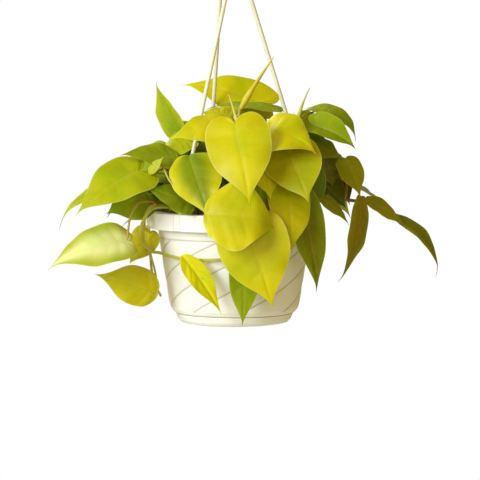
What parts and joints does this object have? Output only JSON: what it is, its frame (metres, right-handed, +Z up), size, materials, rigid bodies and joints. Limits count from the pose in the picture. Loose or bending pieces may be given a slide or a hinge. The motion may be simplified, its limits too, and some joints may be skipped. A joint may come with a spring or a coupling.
{
  "type": "potted vining philodendron in a hanging basket",
  "caption": "Lime heart-leaf philodendron with trailing vines in a round white plastic hanging basket with a clip-on drip saucer and a three-strand plastic hanger.",
  "frame": {"origin": "the seat of the hook: the inside of the top of its bend, where the basket hangs", "axes": "+Z up, the front of the plant towards -Y, +X to the plant's right as seen from the front"},
  "size_m": [0.349, 0.228, 0.3842],
  "materials": {
    "pot_plastic": "satin",
    "hanger_plastic": "satin",
    "potting_mix": "matte",
    "stem": "satin",
    "leaf": "satin"
  },
  "bodies": {
    "root": {"pot": "pot_plastic", "drip_saucer": "pot_plastic", "potting_mix": "potting_mix", "hanger_hook": "hanger_plastic", "hanger_strand_1": "hanger_plastic", "hanger_strand_2": "hanger_plastic", "hanger_strand_3": "hanger_plastic", "vine_centre": "stem", "vine_left_crown": "stem", "vine_right_crown": "stem", "vine_left_trail": "stem", "vine_front_trail": "stem", "vine_right_trail": "stem", "vine_back_left": "stem", "vine_back_right": "stem", "leaf_01": "leaf", "leaf_02": "leaf", "leaf_03": "leaf", "leaf_04": "leaf", "leaf_05": "leaf", "leaf_06": "leaf", "leaf_07": "leaf", "leaf_08": "leaf", "leaf_09": "leaf", "leaf_10": "leaf", "leaf_11": "leaf", "leaf_12": "leaf", "leaf_13": "leaf", "leaf_14": "leaf", "leaf_15": "leaf", "leaf_16": "leaf", "leaf_17": "leaf", "leaf_18": "leaf", "leaf_19": "leaf", "leaf_20": "leaf", "leaf_21": "leaf", "leaf_22": "leaf", "leaf_23": "leaf", "leaf_24": "leaf", "leaf_25": "leaf", "leaf_26": "leaf", "leaf_27": "leaf", "leaf_28": "leaf", "leaf_29": "leaf", "leaf_30": "leaf", "leaf_31": "leaf", "leaf_32": "leaf", "leaf_33": "leaf", "leaf_34": "leaf", "leaf_35": "leaf", "leaf_36": "leaf", "leaf_37": "leaf", "leaf_38": "leaf", "leaf_39": "leaf", "leaf_40": "leaf", "leaf_41": "leaf", "leaf_42": "leaf", "leaf_43": "leaf", "leaf_44": "leaf", "leaf_45": "leaf"}
  },
  "joints": []
}
